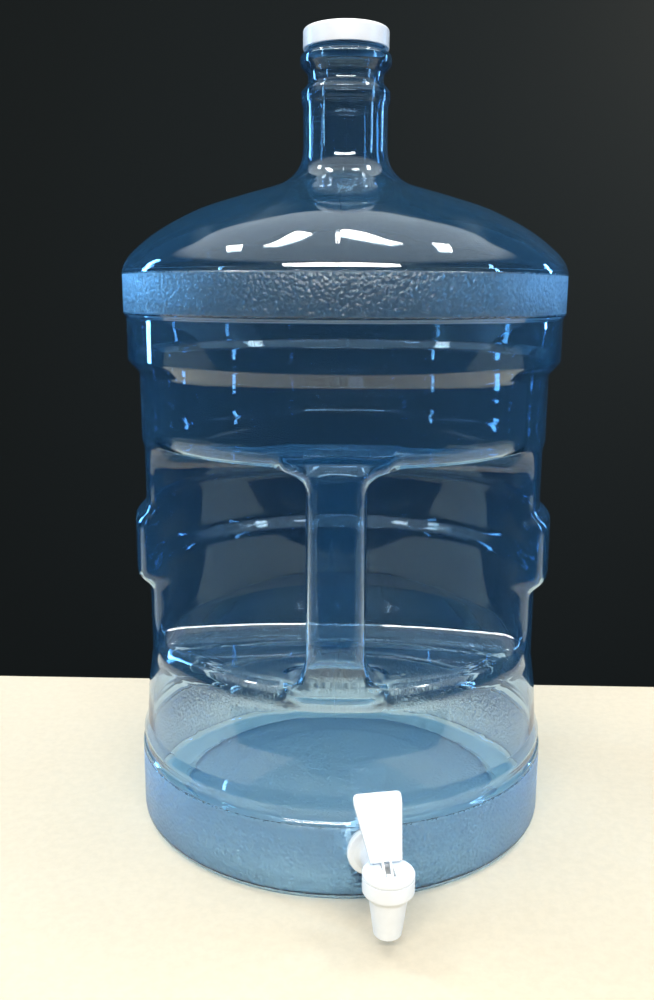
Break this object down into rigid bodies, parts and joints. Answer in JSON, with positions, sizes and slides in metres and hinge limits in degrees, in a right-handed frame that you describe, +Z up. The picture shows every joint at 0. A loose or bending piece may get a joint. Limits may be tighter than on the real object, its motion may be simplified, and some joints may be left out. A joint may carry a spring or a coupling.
{
  "type": "detergent dispenser bottle",
  "caption": "Tall clear blue bottle with a moulded handle pocket, a narrow capped neck and a white lever spigot low on its front for dispensing liquid.",
  "frame": {"origin": "centre of the footprint at the base, which runs from the back of the bottle to the front of the valve housing", "axes": "+Z up along the bottle, -Y towards the handle and the spigot, +X to the right of someone facing the handle"},
  "size_m": [0.272, 0.3211, 0.49],
  "materials": {
    "clear_blue_plastic": "clear, glossy, with two pebbled bands",
    "white_cap_plastic": "smooth, lightly glossy",
    "foam_liner": "soft foam",
    "white_spigot_plastic": "smooth moulded polypropylene",
    "stem_plastic": "smooth acetal",
    "silicone": "translucent soft silicone",
    "spring_steel": "drawn stainless wire",
    "nut_plastic": "smooth moulded polypropylene"
  },
  "bodies": {
    "bottle": {"bottle_body": "clear_blue_plastic", "spigot_body": "white_spigot_plastic", "bonnet": "white_spigot_plastic", "outer_gasket": "silicone", "inner_gasket": "silicone", "lock_nut": "nut_plastic", "seat_cup": "silicone", "return_spring": "spring_steel"},
    "cap_seal": {"cap_liner": "foam_liner"},
    "cap": {"screw_cap": "white_cap_plastic"},
    "stem": {"valve_stem": "stem_plastic", "lever_pin": "stem_plastic"},
    "lever": {"lever": "white_spigot_plastic"}
  },
  "joints": [
    {"name": "cap_lift", "type": "slide", "parent": "bottle", "child": "cap_seal", "axis": [0, 0, 1], "range_m": [0, 0.0128]},
    {"name": "cap_turn", "type": "hinge", "parent": "cap_seal", "child": "cap", "pos_m": [0, 0.02458, 0.484], "axis": [0, 0, 1], "range_deg": [0, 1080]},
    {"name": "stem_lift", "type": "slide", "parent": "bottle", "child": "stem", "axis": [0, 0, 1], "range_m": [0, 0.003], "deforming": ["seat_cup", "return_spring"]},
    {"name": "lever_tilt", "type": "hinge", "parent": "stem", "child": "lever", "pos_m": [0.03004, -0.14683, 0.041], "axis": [0.9744, 0.225, 0], "range_deg": [0, 70], "stiffness_Nm_per_rad": 0.03, "springref_deg": -22.92}
  ],
  "couplings": [
    {"joint": "cap_lift", "follows": "cap_turn", "m_per_rad": 0.00067323},
    {"joint": "stem_lift", "follows": "lever_tilt", "m_per_rad": 0.0024551}
  ]
}
